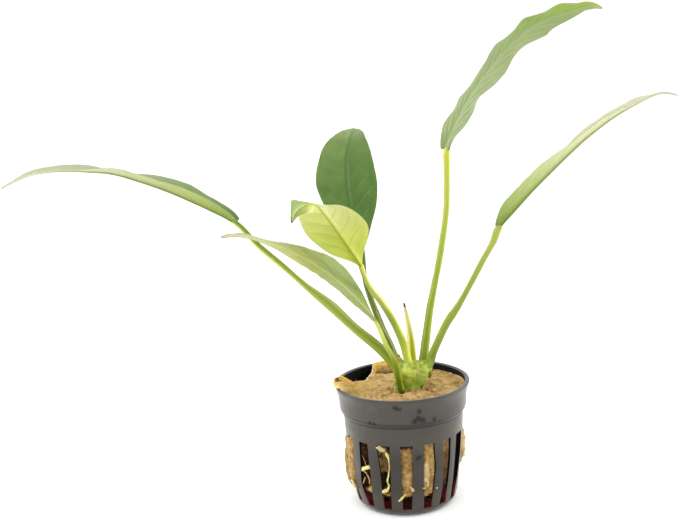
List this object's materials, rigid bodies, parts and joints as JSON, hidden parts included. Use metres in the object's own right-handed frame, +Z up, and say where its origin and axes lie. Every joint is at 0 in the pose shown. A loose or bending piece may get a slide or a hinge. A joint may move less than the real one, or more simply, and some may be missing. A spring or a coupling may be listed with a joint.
{
  "type": "potted anubias plant",
  "caption": "Small potted anubias: broad leaves on long stalks spread from a short rhizome planted in rock wool in a round slotted pot.",
  "frame": {"origin": "centre of the pot's flat underside, on the pot's axis", "axes": "+Z up along the pot's axis; the leaves spread furthest along X; -Y is the side seen in the picture"},
  "size_m": [0.2629, 0.1199, 0.197],
  "materials": {
    "pot": "satin grey moulded plastic",
    "rock_wool": "matted mineral fibre",
    "rhizome": "smooth plant tissue with leaf scars",
    "new_leaf": "smooth plant tissue, dry at the tip",
    "root": "matt plant tissue",
    "leaf_stalk": "smooth plant tissue",
    "leaf_blade": "satin leaf",
    "young_leaf_blade": "thin satin leaf",
    "dark_leaf_blade": "satin leaf"
  },
  "bodies": {
    "root": {"pot": "pot", "rock_wool_plug": "rock_wool", "rhizome": "rhizome", "new_leaf_spike": "new_leaf", "root_front": "root", "root_front_left": "root", "far_left_leaf_stalk": "leaf_stalk", "far_left_leaf_blade": "leaf_blade", "front_left_leaf_stalk": "leaf_stalk", "front_left_leaf_blade": "leaf_blade", "young_front_leaf_stalk": "leaf_stalk", "young_front_leaf_blade": "young_leaf_blade", "upright_back_leaf_stalk": "leaf_stalk", "upright_back_leaf_blade": "dark_leaf_blade", "tall_right_leaf_stalk": "leaf_stalk", "tall_right_leaf_blade": "leaf_blade", "right_leaf_stalk": "leaf_stalk", "right_leaf_blade": "young_leaf_blade"}
  },
  "joints": []
}
